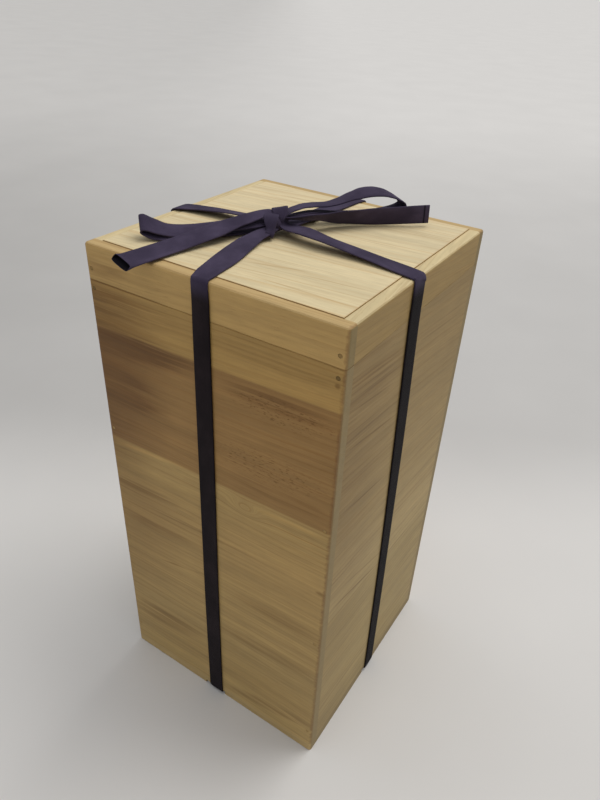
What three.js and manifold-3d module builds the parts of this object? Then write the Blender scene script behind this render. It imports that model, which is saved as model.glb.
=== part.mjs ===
// A tall paulownia wood box with a flush lifting lid, tied four ways with a flat cotton cord.
// Millimetres, +Z up, origin at the middle of the underside, front wall towards -Y.
import * as THREE from 'three';
import * as BufferGeometryUtils from 'three/addons/utils/BufferGeometryUtils.js';
import Module from 'manifold-3d';

const wasm = await Module();
wasm.setup();

// Body: four butt-jointed walls on a bottom board, measured over the outside
const boxWidth = 200;
const boxDepth = 200;
const bodyHeight = 382.5;
const wallThickness = 9;
const bottomThickness = 10;
const uprightArrisRadius = 2.5;
const footEase = 0.8;
const seamEase = 0.4;

// Lid: four rails sawn from the same walls, with a top panel let in between them
const lidRailHeight = 25.5;
const lidFitClearance = 0.5;
const lidArrisRadius = 2;
const panelThickness = 10.1;
const panelProud = 0.6;
const panelShrinkGap = 0.3;
const panelCornerRadius = 0.5;
const panelEase = 0.3;

// Lip: thin boards glued inside the walls, standing up into the lid to just below its panel
const lipThickness = 5;
const lipHeadroom = 1.5;
const lipSeatDepth = 30;
const lipTopEase = 1;
const lipCornerRadius = 0.4;

// Wooden pegs that hold the butt joints
const pegRadius = 1.2;
const pegClearance = 0.25;
const pegTipShare = 0.75;
const pegSides = 12;
const cornerPegLength = 24;
const pegsPerCorner = 4;
const topPegDrop = 6.2;
const lowestPegRise = 17;
const lidPegRise = 8;
const bottomPegLength = 26;
const bottomPegSpacing = 120;

// Grooves across the underside, where the cord passes beneath the box
const grooveWidth = 22;
const grooveDepth = 4;
const frontGrooveX = -4;
const sideGrooveY = 3;

// Flat cord
const cordWidth = 14.5;
const cordThickness = 1;
const cordGap = 0.3;
const cordEdgeShare = 0.3;
const loopStepsPerSpan = 3;
const knotStepsPerSpan = 2;

// Facets of the rounded edges, and how far a cut runs past what it cuts
const easeSteps = 3;
const cornerSteps = 4;
const leastCornerShare = 0.25;
const cutOverrun = 5;

// Sizes that follow
const railThickness = wallThickness - lidFitClearance;
const rimTop = bodyHeight + lidRailHeight;
const panelTop = rimTop + panelProud;
const panelBottom = panelTop - panelThickness;
const panelInset = railThickness + panelShrinkGap;
const lipTop = panelBottom - lipHeadroom;
const innerWidth = boxWidth - 2 * wallThickness;
const innerDepth = boxDepth - 2 * wallThickness;
const pegInset = wallThickness / 2;

// A thin closed skin through rings of points; each ring turns anticlockwise about the way it travels
function loft(rings) {
  const count = rings[0].length;
  const positions = rings.flat().flatMap((point) => [point.x, point.y, point.z]);
  const faces = [];
  for (let level = 0; level + 1 < rings.length; level += 1) {
    for (let i = 0; i < count; i += 1) {
      const next = (i + 1) % count;
      const a = level * count + i;
      const b = level * count + next;
      faces.push(a, b, b + count, a, b + count, a + count);
    }
  }
  const last = (rings.length - 1) * count;
  for (let i = 1; i + 1 < count; i += 1) {
    faces.push(0, i + 1, i, last, last + i, last + i + 1);
  }
  const geometry = new THREE.BufferGeometry();
  geometry.setAttribute('position', new THREE.Float32BufferAttribute(positions, 3));
  geometry.setIndex(faces);
  return geometry;
}

function toSolid(geometry) {
  const bare = geometry.clone();
  bare.deleteAttribute('normal');
  bare.deleteAttribute('uv');
  const merged = BufferGeometryUtils.mergeVertices(bare);
  const mesh = new wasm.Mesh({
    numProp: 3,
    vertProperties: new Float32Array(merged.attributes.position.array),
    triVerts: new Uint32Array(merged.index.array),
  });
  return new wasm.Manifold(mesh);
}

function toGeometry(solid) {
  const mesh = solid.getMesh();
  const geometry = new THREE.BufferGeometry();
  geometry.setAttribute('position', new THREE.BufferAttribute(mesh.vertProperties, 3));
  geometry.setIndex(new THREE.BufferAttribute(mesh.triVerts, 1));
  return geometry;
}

// A board blank between two corners
function blank(low, high) {
  const size = new THREE.Vector3().subVectors(high, low);
  const middle = new THREE.Vector3().addVectors(low, high).divideScalar(2);
  return toSolid(new THREE.BoxGeometry(size.x, size.y, size.z).translate(middle.x, middle.y, middle.z));
}

// The plan outline of a block with rounded upright corners
function blockOutline(halfWidth, halfDepth, radius, height) {
  const outline = [];
  for (let corner = 0; corner < 4; corner += 1) {
    const xSign = corner === 0 || corner === 3 ? 1 : -1;
    const ySign = corner < 2 ? 1 : -1;
    for (let step = 0; step <= cornerSteps; step += 1) {
      const angle = (corner + step / cornerSteps) * (Math.PI / 2);
      const x = xSign * (halfWidth - radius) + radius * Math.cos(angle);
      const y = ySign * (halfDepth - radius) + radius * Math.sin(angle);
      outline.push(new THREE.Vector3(x, y, height));
    }
  }
  return outline;
}

// A block whose upright corners are rounded and whose bottom and top edges are eased to quarter rounds
function easedBlock({ width, depth, bottom, top, cornerRadius, bottomEase, topEase }) {
  const rings = [];
  const addRing = (inset, height) => {
    const radius = Math.max(cornerRadius - inset, cornerRadius * leastCornerShare);
    rings.push(blockOutline(width / 2 - inset, depth / 2 - inset, radius, height));
  };
  for (let step = 0; step <= easeSteps; step += 1) {
    const angle = (step / easeSteps) * (Math.PI / 2);
    addRing(bottomEase * (1 - Math.sin(angle)), bottom + bottomEase * (1 - Math.cos(angle)));
  }
  for (let step = 0; step <= easeSteps; step += 1) {
    const angle = (step / easeSteps) * (Math.PI / 2);
    addRing(topEase * (1 - Math.cos(angle)), top - topEase * (1 - Math.sin(angle)));
  }
  return toSolid(loft(rings));
}

const bodyEnvelope = easedBlock({
  width: boxWidth,
  depth: boxDepth,
  bottom: 0,
  top: bodyHeight,
  cornerRadius: uprightArrisRadius,
  bottomEase: footEase,
  topEase: seamEase,
});

const lidEnvelope = easedBlock({
  width: boxWidth,
  depth: boxDepth,
  bottom: bodyHeight,
  top: rimTop,
  cornerRadius: uprightArrisRadius,
  bottomEase: seamEase,
  topEase: lidArrisRadius,
});

const lipEnvelope = easedBlock({
  width: innerWidth,
  depth: innerDepth,
  bottom: bodyHeight - lipSeatDepth,
  top: lipTop,
  cornerRadius: lipCornerRadius,
  bottomEase: lipCornerRadius,
  topEase: lipTopEase,
});

// Four boards round a square: front and back run the full width and side boards butt between them
function boardsAround({ width, depth, thickness, bottom, top }) {
  const outX = width / 2 + cutOverrun;
  const outY = depth / 2 + cutOverrun;
  const inX = width / 2 - thickness;
  const inY = depth / 2 - thickness;
  return {
    front: blank(new THREE.Vector3(-outX, -outY, bottom), new THREE.Vector3(outX, -inY, top)),
    back: blank(new THREE.Vector3(-outX, inY, bottom), new THREE.Vector3(outX, outY, top)),
    left: blank(new THREE.Vector3(-outX, -inY, bottom), new THREE.Vector3(-inX, inY, top)),
    right: blank(new THREE.Vector3(inX, -inY, bottom), new THREE.Vector3(outX, inY, top)),
  };
}

// Each peg is known by its outer end, the way it is driven and its length
function pegPlaces() {
  const places = [];
  const lowest = bottomThickness + lowestPegRise;
  const spacing = (bodyHeight - topPegDrop - lowest) / (pegsPerCorner - 1);
  for (const ySign of [-1, 1]) {
    for (const xSign of [-1, 1]) {
      const corner = `${ySign < 0 ? 'front' : 'back'}_${xSign < 0 ? 'left' : 'right'}`;
      const x = xSign * (boxWidth / 2 - pegInset);
      const y = ySign * (boxDepth / 2);
      const drive = new THREE.Vector3(0, -ySign, 0);
      for (let i = 0; i < pegsPerCorner; i += 1) {
        const head = new THREE.Vector3(x, y, lowest + i * spacing);
        places.push({ name: `${corner}_peg_${i + 1}`, head, drive, length: cornerPegLength, onLid: false });
      }
      const lidHead = new THREE.Vector3(x, y, bodyHeight + lidPegRise);
      places.push({ name: `lid_${corner}_peg`, head: lidHead, drive, length: cornerPegLength, onLid: true });
    }
  }
  const up = new THREE.Vector3(0, 0, 1);
  const sides = { front: [0, -1], back: [0, 1], left: [-1, 0], right: [1, 0] };
  for (const [side, [xSide, ySide]] of Object.entries(sides)) {
    for (const end of [-1, 1]) {
      const along = end * (bottomPegSpacing / 2);
      const x = xSide === 0 ? along : xSide * (boxWidth / 2 - pegInset);
      const y = ySide === 0 ? along : ySide * (boxDepth / 2 - pegInset);
      const name = `bottom_${side}_peg_${end < 0 ? 1 : 2}`;
      places.push({ name, head: new THREE.Vector3(x, y, 0), drive: up, length: bottomPegLength, onLid: false });
    }
  }
  return places;
}

const pegs = pegPlaces();
const yAxis = new THREE.Vector3(0, 1, 0);

// The bore for one peg, from outside the box to just past the peg's tip
function pegBore({ head, drive, length }) {
  const radius = pegRadius + pegClearance;
  const reach = length + pegClearance;
  const bore = new THREE.CylinderGeometry(radius, radius, reach + cutOverrun, pegSides);
  bore.translate(0, (reach - cutOverrun) / 2, 0);
  bore.applyQuaternion(new THREE.Quaternion().setFromUnitVectors(yAxis, drive));
  return toSolid(bore.translate(head.x, head.y, head.z));
}

function boreAll(solid, onLid) {
  return pegs.filter((peg) => peg.onLid === onLid).reduce((rest, peg) => rest.subtract(pegBore(peg)), solid);
}

function pegGeometry(length) {
  const peg = new THREE.CylinderGeometry(pegRadius * pegTipShare, pegRadius, length, pegSides);
  return peg.translate(0, length / 2, 0);
}

// The flat cord's section: a thin bar with softened edges
function cordRing(centre, across, normal, width, thickness) {
  const softening = thickness * cordEdgeShare;
  const a = width / 2;
  const b = thickness / 2;
  const places = [
    [a, softening - b],
    [a, b - softening],
    [a - softening, b],
    [softening - a, b],
    [-a, b - softening],
    [-a, softening - b],
    [softening - a, -b],
    [a - softening, -b],
  ];
  return places.map(([u, v]) => centre.clone().addScaledVector(across, u).addScaledVector(normal, v));
}

// A length of flat cord through hand-chosen points, turned so that its width lies along each across vector
function cordAlong(route, { steps = 1, grow = 0, thickness = cordThickness } = {}) {
  const centres = new THREE.CatmullRomCurve3(route.map(([x, y, z]) => new THREE.Vector3(x, y, z)));
  const acrosses = new THREE.CatmullRomCurve3(route.map((row) => new THREE.Vector3(row[3], row[4], row[5])));
  const spans = route.length - 1;
  const rings = [];
  for (let i = 0; i <= spans * steps; i += 1) {
    const t = i / (spans * steps);
    const tangent = centres.getTangent(t);
    const across = acrosses.getPoint(t);
    across.addScaledVector(tangent, -across.dot(tangent)).normalize();
    const normal = new THREE.Vector3().crossVectors(tangent, across);
    const span = Math.min(Math.floor(i / steps), spans - 1);
    const within = i / steps - span;
    const widthShare = THREE.MathUtils.lerp(route[span][6], route[span + 1][6], within);
    const width = cordWidth * widthShare + 2 * grow;
    rings.push(cordRing(centres.getPoint(t), across, normal, width, thickness + 2 * grow));
  }
  return loft(rings);
}

// Rows of a cord route hold a point, the across vector there and the share of the full width
const alongX = [1, 0, 0, 1];
const alongY = [0, 1, 0, 1];

const cordFrontTop = [
  [-9.7, -14, 414.2, 1, 0, 0, 0.6],
  [-12.5, -28, 412.2, 1, 0, -0.05, 0.85],
  [-11.6, -42, 411.2, 1, 0, -0.12, 1],
  [-5.6, -68, 411.2, 1, 0, -0.26, 1],
  [-2.6, -91, 409.9, 1, 0, -0.1, 0.96],
  [-1.9, -98, 408.85, 1, 0, 0, 0.91],
  [-1.6, -99.42, 408.47, 1, 0, 0, 0.9],
  [-1.4, -100.47, 407.42, 1, 0, 0, 0.9],
  [-1.3, -100.85, 406, 1, 0, 0, 0.9],
  [-1, -100.85, 393, 1, 0, 0, 0.94],
  [-1.2, -100.85, 382.8, 1, 0, 0, 0.95],
];
const cordBackTop = [
  [-8, -4, 414, -1, 0, 0, 0.7],
  [-9, 14, 411.9, -1, 0, 0, 0.85],
  [-9.6, 32, 410.6, -1, 0, 0, 1],
  [-8.4, 65, 409.9, -1, 0, 0, 1],
  [-6.9, 92, 409.4, -1, 0, 0, 1],
  [-6.6, 98, 408.85, -1, 0, 0, 1],
  [-6.5, 99.42, 408.47, -1, 0, 0, 1],
  [-6.4, 100.47, 407.42, -1, 0, 0, 1],
  [-6.3, 100.85, 406, -1, 0, 0, 1],
  [-6.1, 100.85, 382.8, -1, 0, 0, 1],
];
const cordLeftTop = [
  [-12, -8, 415.2, 0, -1, 0, 0.7],
  [-28, -6, 414.8, 0, -1, 0, 0.9],
  [-48, -4, 413.2, 0, -1, 0, 1],
  [-76, -5, 411.2, 0, -1, 0, 1],
  [-92, -7.6, 410.1, 0, -1, 0, 1],
  [-98, -8.2, 409.3, 0, -1, 0, 1],
  [-99.6, -8.4, 408.7, 0, -1, 0, 1],
  [-100.6, -8.5, 407.6, 0, -1, 0, 1],
  [-100.85, -8.6, 406, 0, -1, 0, 1],
  [-100.85, -8.6, 382.8, 0, -1, 0, 1],
];
const cordRightTop = [
  [-4, -6.5, 416, 0, 1, 0, 0.9],
  [12, -6.5, 414.6, ...alongY],
  [32, -8, 412.6, ...alongY],
  [62, -11.2, 410.4, ...alongY],
  [92, -13.5, 409.4, ...alongY],
  [98, -13.8, 408.85, ...alongY],
  [99.42, -13.9, 408.47, ...alongY],
  [100.47, -13.9, 407.42, ...alongY],
  [100.85, -13.9, 406, ...alongY],
  [100.85, -13.4, 382.8, ...alongY],
];
const cordFrontSide = [
  [-1.2, -100.85, 382.2, 1, 0, 0, 0.95],
  [-2, -100.85, 250, ...alongX],
  [-2.7, -100.85, 118, ...alongX],
  [-2.1, -100.85, 9.2, ...alongX],
];
const cordBackSide = [
  [-6.1, 100.85, 382.2, -1, 0, 0, 1],
  [-4.6, 100.85, 195, -1, 0, 0, 1],
  [-3, 100.85, 9.2, -1, 0, 0, 1],
];
const cordLeftSide = [
  [-100.85, -8.6, 382.2, 0, -1, 0, 1],
  [-100.85, -3.2, 195, 0, -1, 0, 1],
  [-100.85, 1.4, 9.2, 0, -1, 0, 1],
];
const cordRightSide = [
  [100.85, -13.4, 382.2, ...alongY],
  [100.85, -7.2, 285, ...alongY],
  [100.85, -2.7, 180, ...alongY],
  [100.85, 0.6, 95, ...alongY],
  [100.85, 2.9, 9.2, ...alongY],
];
const cordUnderFrontBack = [
  [-2.1, -100.85, 8.6, ...alongX],
  [-2, -100.85, 4.3, ...alongX],
  [-2, -100.55, 3.5, ...alongX],
  [-2, -99.8, 3.2, ...alongX],
  [-2.5, 0, 3.2, ...alongX],
  [-3, 99.8, 3.2, ...alongX],
  [-3, 100.55, 3.5, ...alongX],
  [-3, 100.85, 4.3, ...alongX],
  [-3, 100.85, 8.6, ...alongX],
];
const cordUnderLeftRight = [
  [-100.85, 1.4, 8.6, 0, -1, 0, 1],
  [-100.85, 1.5, 4.3, 0, -1, 0, 1],
  [-100.55, 1.5, 3.5, 0, -1, 0, 1],
  [-99.8, 1.5, 3.2, 0, -1, 0, 1],
  [-50, 1.9, 3.2, 0, -1, 0, 1],
  [-22, 2.1, 1.85, 0, -1, 0, 1],
  [18, 2.4, 1.85, 0, -1, 0, 1],
  [50, 2.6, 3.2, 0, -1, 0, 1],
  [99.8, 3, 3.2, 0, -1, 0, 1],
  [100.55, 3, 3.5, 0, -1, 0, 1],
  [100.85, 3, 4.3, 0, -1, 0, 1],
  [100.85, 2.9, 8.6, 0, -1, 0, 1],
];
const cordLeftTail = [
  [-14.5, -7, 422.3, -0.9, 0.2, 0.3, 0.35],
  [-25.5, -26, 419.6, -0.9, 0.25, 0.3, 0.7],
  [-34, -46, 415.7, -0.92, 0.25, 0.25, 1],
  [-41.5, -73, 412.7, -0.92, 0.25, 0.25, 1],
  [-45.5, -96, 412, -0.93, 0.2, 0.25, 1],
  [-48.8, -118, 411.6, -0.9, 0.34, 0.25, 1.06],
];
const cordRightTail = [
  [-3.5, -5, 420, 0.6, -0.5, 0.4, 0.4],
  [8, 13, 418.8, 0.55, -0.45, 0.6, 0.7],
  [20, 31, 416.9, 0.45, -0.35, 0.8, 1],
  [40, 54, 416.2, 0.2, -0.15, 0.96, 0.97],
  [64.6, 75.8, 417.6, 0, 0, 1, 0.92],
];
const cordLeftLoop = [
  [-14, -9, 418, -0.6, 0.7, 0.3, 0.5],
  [-35, -36, 415.9, -0.62, 0.73, 0.26, 0.85],
  [-52, -52.5, 413.3, -0.64, 0.72, 0.25, 1],
  [-62, -61.5, 413.9, -0.64, 0.7, 0.25, 1],
  [-68, -67.5, 417.2, -0.63, 0.66, 0.36, 1],
  [-71.4, -71.6, 419.4, -0.62, 0.58, 0.47, 1],
  [-72.6, -73, 418.8, -0.62, 0.58, 0.47, 1],
  [-71.8, -72.3, 417, -0.62, 0.58, 0.45, 1],
  [-66, -68.5, 412, -0.62, 0.72, 0.2, 1],
  [-55, -56, 410.8, -0.65, 0.75, 0.1, 0.9],
  [-33, -31, 410.8, -0.65, 0.75, 0.1, 0.7],
  [-15, -12, 412.4, -0.65, 0.75, 0.1, 0.5],
];
const cordRightLoop = [
  [-7, -2, 421.5, 0.7, -0.6, 0, 0.5],
  [-6, 12, 423.2, 0.75, -0.65, 0, 0.55],
  [-2.5, 22, 423, 0.66, -0.75, 0.02, 0.7],
  [4.6, 32.5, 422.6, 0.66, -0.75, 0.04, 0.85],
  [10.2, 39.3, 424.4, 0.68, -0.73, 0, 0.95],
  [16.3, 45.6, 427.6, 0.7, -0.7, -0.08, 1],
  [22.3, 50.5, 430, 0.75, -0.62, -0.19, 1],
  [28, 57, 430.7, 0.78, -0.6, -0.2, 1],
  [33.5, 64.5, 429.3, 0.8, -0.58, -0.15, 1],
  [38.2, 71.8, 425.8, 0.82, -0.56, -0.1, 0.95],
  [41.2, 77.3, 421.7, 0.82, -0.55, 0, 0.9],
  [41.6, 78, 419.6, 0.82, -0.55, 0, 0.9],
  [40, 76.2, 417.8, 0.82, -0.55, 0, 0.95],
  [30, 63, 415, 0.8, -0.58, 0, 1],
  [12, 42, 413.8, 0.8, -0.6, 0, 0.8],
  [-2, 22, 417.2, 0.85, -0.3, 0.1, 0.5],
  [-9, -2, 418.6, 0.85, -0.2, 0.1, 0.4],
];
const knotOverBand = [
  [-16.5, 2.4, 416, 0.84, 0.55, 0, 0.5],
  [-15.5, -0.1, 422.6, 0.84, 0.55, 0, 0.66],
  [-11.4, -4.5, 425.4, 0.86, 0.5, 0, 0.8],
  [-6.9, -6.9, 422.6, 0.9, 0.42, 0.15, 0.72],
  [-6.2, -10.4, 418.8, 0.9, 0.4, 0.2, 0.5],
  [-8.2, -10.6, 415.4, 0.9, 0.4, 0, 0.35],
];
const knotFrontBand = [
  [-16.8, -3.2, 419, 0.9, 0.4, 0, 0.5],
  [-15.3, -6.2, 421.6, 0.93, 0.35, 0, 0.6],
  [-12.3, -12, 422.4, 0.97, 0.2, 0, 0.72],
  [-9.9, -16, 419.8, 1, 0, 0, 0.7],
  [-7.4, -19.8, 415.4, 1, -0.1, -0.1, 0.44],
  [-6.4, -22.4, 412.6, 0.95, 0, -0.2, 0.42],
  [-8.6, -20.3, 411.4, 1, 0, 0, 0.36],
];

// The knot: a pulled-down heart of cord with one turn over the bow and one over the front strand
const knotCentre = new THREE.Vector3(-10.2, -8.8, 416.4);
const knotRadii = new THREE.Vector3(8.8, 9.8, 6.6);
const knotTurnThickness = 2.4;
const knotFacets = 16;

function knotSolid(grow) {
  const heart = new THREE.SphereGeometry(1, knotFacets, knotFacets / 2);
  heart.scale(knotRadii.x + grow, knotRadii.y + grow, knotRadii.z + grow);
  heart.translate(knotCentre.x, knotCentre.y, knotCentre.z);
  const turnSize = { steps: knotStepsPerSpan, grow, thickness: knotTurnThickness };
  const turn = (route) => toSolid(cordAlong(route, turnSize));
  return toSolid(heart).add(turn(knotOverBand)).add(turn(knotFrontBand));
}

const knotRoom = knotSolid(cordGap);

// The stretch of a cord that shows outside the knot, without the corners that its trimming leaves
function outsideKnot(cord) {
  const stretches = toSolid(cord).subtract(knotRoom).decompose();
  return stretches.reduce((longest, stretch) => (stretch.volume() > longest.volume() ? stretch : longest));
}

// Finishes
const boxWood = { color: 0xb39768, roughness: 0.72, metalness: 0 };
const lidWood = { color: 0xc9b283, roughness: 0.7, metalness: 0 };
const pegWood = { color: 0x7a5c38, roughness: 0.75, metalness: 0 };
const cordCotton = { color: 0x3a3048, roughness: 0.9, metalness: 0 };

function piece(name, geometry, finish) {
  const mesh = new THREE.Mesh(geometry, new THREE.MeshStandardMaterial(finish));
  mesh.name = name;
  return mesh;
}

// Body boards
const body = new THREE.Group();
const wallBlanks = boardsAround({
  width: boxWidth,
  depth: boxDepth,
  thickness: wallThickness,
  bottom: bottomThickness,
  top: bodyHeight + cutOverrun,
});
for (const [side, board] of Object.entries(wallBlanks)) {
  body.add(piece(`${side}_wall`, toGeometry(boreAll(board.intersect(bodyEnvelope), false)), boxWood));
}

function bottomBoard() {
  const outX = boxWidth / 2 + cutOverrun;
  const outY = boxDepth / 2 + cutOverrun;
  const board = blank(new THREE.Vector3(-outX, -outY, -cutOverrun), new THREE.Vector3(outX, outY, bottomThickness));
  const frontToBack = blank(
    new THREE.Vector3(frontGrooveX - grooveWidth / 2, -outY, -cutOverrun),
    new THREE.Vector3(frontGrooveX + grooveWidth / 2, outY, grooveDepth),
  );
  const sideToSide = blank(
    new THREE.Vector3(-outX, sideGrooveY - grooveWidth / 2, -cutOverrun),
    new THREE.Vector3(outX, sideGrooveY + grooveWidth / 2, grooveDepth),
  );
  return boreAll(board.intersect(bodyEnvelope).subtract(frontToBack).subtract(sideToSide), false);
}
body.add(piece('bottom_board', toGeometry(bottomBoard()), boxWood));

// Lip boards stand against the inside of the walls
const lipBlanks = boardsAround({
  width: innerWidth,
  depth: innerDepth,
  thickness: lipThickness,
  bottom: bodyHeight - lipSeatDepth - cutOverrun,
  top: lipTop + cutOverrun,
});
for (const [side, board] of Object.entries(lipBlanks)) {
  body.add(piece(`${side}_lip`, toGeometry(board.intersect(lipEnvelope)), lidWood));
}

// Lid rails and panel
const lid = new THREE.Group();
const railBlanks = boardsAround({
  width: boxWidth,
  depth: boxDepth,
  thickness: railThickness,
  bottom: bodyHeight - cutOverrun,
  top: rimTop + cutOverrun,
});
for (const [side, board] of Object.entries(railBlanks)) {
  lid.add(piece(`lid_${side}_rail`, toGeometry(boreAll(board.intersect(lidEnvelope), true)), boxWood));
}
const panel = easedBlock({
  width: boxWidth - 2 * panelInset,
  depth: boxDepth - 2 * panelInset,
  bottom: panelBottom,
  top: panelTop,
  cornerRadius: panelCornerRadius,
  bottomEase: panelEase,
  topEase: panelEase,
});
lid.add(piece('lid_top_panel', toGeometry(panel), lidWood));

for (const { name, head, drive, length, onLid } of pegs) {
  const peg = piece(name, pegGeometry(length), pegWood);
  peg.position.copy(head);
  peg.quaternion.setFromUnitVectors(yAxis, drive);
  (onLid ? lid : body).add(peg);
}

// The cord: what lies on the lid goes with it, and the rest stays with the body
const bodyCord = {
  cord_front_side: cordFrontSide,
  cord_back_side: cordBackSide,
  cord_left_side: cordLeftSide,
  cord_right_side: cordRightSide,
  cord_under_front_back: cordUnderFrontBack,
  cord_under_left_right: cordUnderLeftRight,
};
for (const [name, route] of Object.entries(bodyCord)) {
  body.add(piece(name, cordAlong(route), cordCotton));
}

const lidCord = {
  cord_front_top: cordFrontTop,
  cord_back_top: cordBackTop,
  cord_left_top: cordLeftTop,
  cord_right_top: cordRightTop,
};
for (const [name, route] of Object.entries(lidCord)) {
  lid.add(piece(name, toGeometry(outsideKnot(cordAlong(route))), cordCotton));
}

const bowCord = {
  cord_left_loop: cordLeftLoop,
  cord_right_loop: cordRightLoop,
  cord_left_tail: cordLeftTail,
  cord_right_tail: cordRightTail,
};
for (const [name, route] of Object.entries(bowCord)) {
  const curve = cordAlong(route, { steps: loopStepsPerSpan });
  lid.add(piece(name, toGeometry(outsideKnot(curve)), cordCotton));
}
lid.add(piece('cord_knot', toGeometry(knotSolid(0)), cordCotton));

const box = new THREE.Group();
box.add(body);
box.add(lid);

export default box;
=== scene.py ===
import logging
import math
from dataclasses import dataclass, field
from enum import Enum

import bmesh
import bpy
from mathutils import Matrix, Vector
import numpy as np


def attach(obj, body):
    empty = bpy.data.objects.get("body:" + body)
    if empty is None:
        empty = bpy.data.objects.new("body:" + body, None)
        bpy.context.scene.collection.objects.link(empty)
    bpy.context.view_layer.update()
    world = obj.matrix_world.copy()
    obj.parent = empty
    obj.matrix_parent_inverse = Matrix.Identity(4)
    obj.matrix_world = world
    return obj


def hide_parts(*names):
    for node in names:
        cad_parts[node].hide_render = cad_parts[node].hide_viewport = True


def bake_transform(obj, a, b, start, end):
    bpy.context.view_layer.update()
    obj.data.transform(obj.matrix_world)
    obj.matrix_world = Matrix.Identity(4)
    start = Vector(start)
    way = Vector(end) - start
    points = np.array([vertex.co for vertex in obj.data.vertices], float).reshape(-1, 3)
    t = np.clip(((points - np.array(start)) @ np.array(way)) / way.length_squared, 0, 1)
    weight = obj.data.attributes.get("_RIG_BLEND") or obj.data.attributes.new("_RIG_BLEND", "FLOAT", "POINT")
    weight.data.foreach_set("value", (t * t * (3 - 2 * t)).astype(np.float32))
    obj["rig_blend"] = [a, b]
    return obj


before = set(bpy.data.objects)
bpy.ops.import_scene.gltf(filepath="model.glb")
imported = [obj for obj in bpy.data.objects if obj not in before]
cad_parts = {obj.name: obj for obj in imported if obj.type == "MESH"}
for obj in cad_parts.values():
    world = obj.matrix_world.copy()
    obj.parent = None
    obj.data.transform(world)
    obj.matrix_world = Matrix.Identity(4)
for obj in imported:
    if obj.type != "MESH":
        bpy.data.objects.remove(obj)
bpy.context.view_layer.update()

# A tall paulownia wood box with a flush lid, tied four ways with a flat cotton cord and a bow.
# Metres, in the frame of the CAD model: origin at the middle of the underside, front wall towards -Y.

LOG = logging.getLogger("paulownia_box")
MM = 0.001
BODY = "box_body"
LID = "lid"
SIDES = ("front", "back", "left", "right")

Colour = tuple[float, float, float]
Row = tuple[float, ...]
Socket = bpy.types.NodeSocket | float


def linear(red: int, green: int, blue: int) -> Colour:
    """Turns a colour as seen on a screen into the scene's linear values.

    Args:
        red: Red, from 0 to 255.
        green: Green, from 0 to 255.
        blue: Blue, from 0 to 255.

    Returns:
        The three linear values.
    """
    shares = (red / 255, green / 255, blue / 255)
    return tuple(s / 12.92 if s <= 0.04045 else ((s + 0.055) / 1.055) ** 2.4 for s in shares)


class Along(Enum):
    """The way that a board's grain runs, as the number of the coordinate."""

    X = 0
    Y = 1


class Mark(Enum):
    """How a mark is broken up: softly along the grain, into short dark pores, or not at all."""

    SOFT = "soft"
    SPECKED = "specked"
    LINE = "line"


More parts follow.
